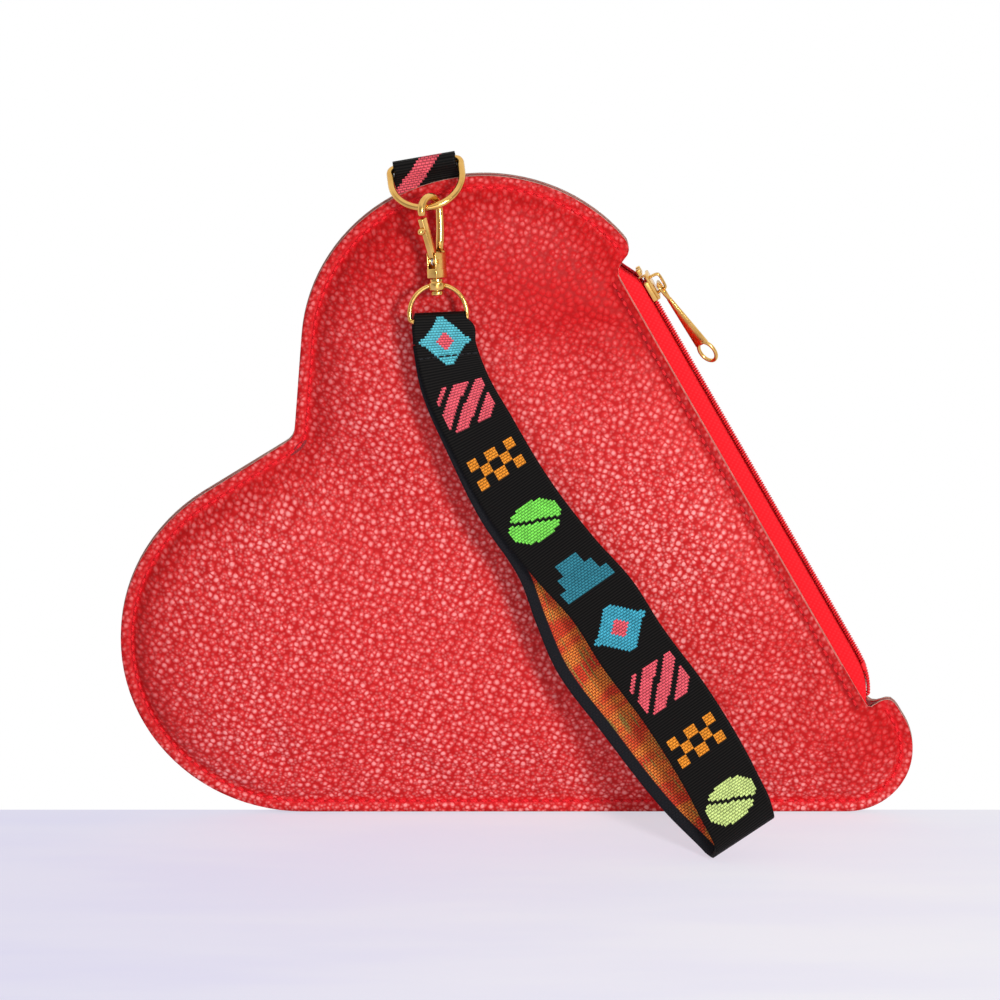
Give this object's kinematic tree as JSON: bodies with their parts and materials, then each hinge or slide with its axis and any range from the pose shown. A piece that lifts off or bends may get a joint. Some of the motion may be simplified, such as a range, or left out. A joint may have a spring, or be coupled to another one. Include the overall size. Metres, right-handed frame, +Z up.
{
  "type": "heart shaped purse",
  "caption": "Flat padded heart shaped purse with a zip along one side and a patterned wrist strap on a swivel snap hook.",
  "frame": {"origin": "on the flat middle of the back panel's outer face", "axes": "+Y out of the purse's back, +Z up, +X to the right as seen from the front; the purse stands on its lower left side as in the picture"},
  "size_m": [0.2404, 0.0645, 0.211],
  "materials": {
    "shell": "pebbled coated fabric, satin",
    "lining": "plain woven lining",
    "thread": "sewing thread in the panels' colour",
    "zip_tape": "woven zip tape",
    "zip_coil": "moulded filament",
    "metal": "polished pale gold plating",
    "pin_metal": "plated pin",
    "spring_steel": "spring wire",
    "tab_webbing": "woven webbing with a diagonal stripe",
    "strap_webbing": "patterned woven webbing",
    "strap_sewing": "dark sewing thread"
  },
  "bodies": {
    "purse": {"front_panel": "shell", "back_panel": "shell", "front_lining": "lining", "back_lining": "lining", "edge_thread": "thread", "front_zip_thread": "thread", "back_zip_thread": "thread", "zip_front_tape": "zip_tape", "zip_back_tape": "zip_tape", "zip_front_coil": "zip_coil", "zip_back_coil": "zip_coil", "zip_top_stops": "metal", "zip_bottom_stop": "zip_coil", "hanger_tab": "tab_webbing"},
    "slider": {"zip_slider": "metal", "zip_bail": "metal"},
    "pull": {"zip_pull": "metal"},
    "ring": {"d_ring": "metal"},
    "hook": {"hook_body": "metal", "gate_pin": "pin_metal", "gate_spring": "spring_steel"},
    "gate": {"hook_gate": "metal"},
    "swivel": {"swivel_loop": "metal"},
    "strap": {"wrist_strap": "strap_webbing", "strap_thread": "strap_sewing"}
  },
  "joints": [
    {"name": "zip_slide", "type": "slide", "parent": "purse", "child": "slider", "axis": [0.48, 0, -0.8772], "range_m": [0, 0.131], "deforming": ["zip_front_tape", "zip_back_tape", "zip_front_coil", "zip_back_coil"]},
    {"name": "pull_hinge", "type": "hinge", "parent": "slider", "child": "pull", "pos_m": [0.04398, -0.01165, 0.0882], "axis": [0, -1, 0], "range_deg": [0, 160]},
    {"name": "d_ring_swing", "type": "hinge", "parent": "purse", "child": "ring", "pos_m": [-0.02654, -0.01165, 0.1263], "axis": [-0.9837, 0, -0.1796], "range_deg": [0, 140]},
    {"name": "hook_swing", "type": "hinge", "parent": "ring", "child": "hook", "pos_m": [-0.02484, -0.02517, 0.11699], "axis": [-0.9837, 0, -0.1796], "range_deg": [0, 60]},
    {"name": "gate_open", "type": "hinge", "parent": "hook", "child": "gate", "pos_m": [-0.02363, -0.02956, 0.10107], "axis": [-0.7651, 0.6034, -0.2248], "range_deg": [0, 22], "stiffness_Nm_per_rad": 0.03, "springref_deg": -11.46},
    {"name": "swivel_spin", "type": "hinge", "parent": "hook", "child": "swivel", "pos_m": [-0.02402, -0.02458, 0.11575], "axis": [0.0501, -0.2924, -0.955], "range_deg": [0, 45]},
    {"name": "strap_swing", "type": "hinge", "parent": "swivel", "child": "strap", "pos_m": [-0.02235, -0.03433, 0.0839], "axis": [-0.9987, -0.0146, -0.0479], "range_deg": [0, 60]}
  ]
}
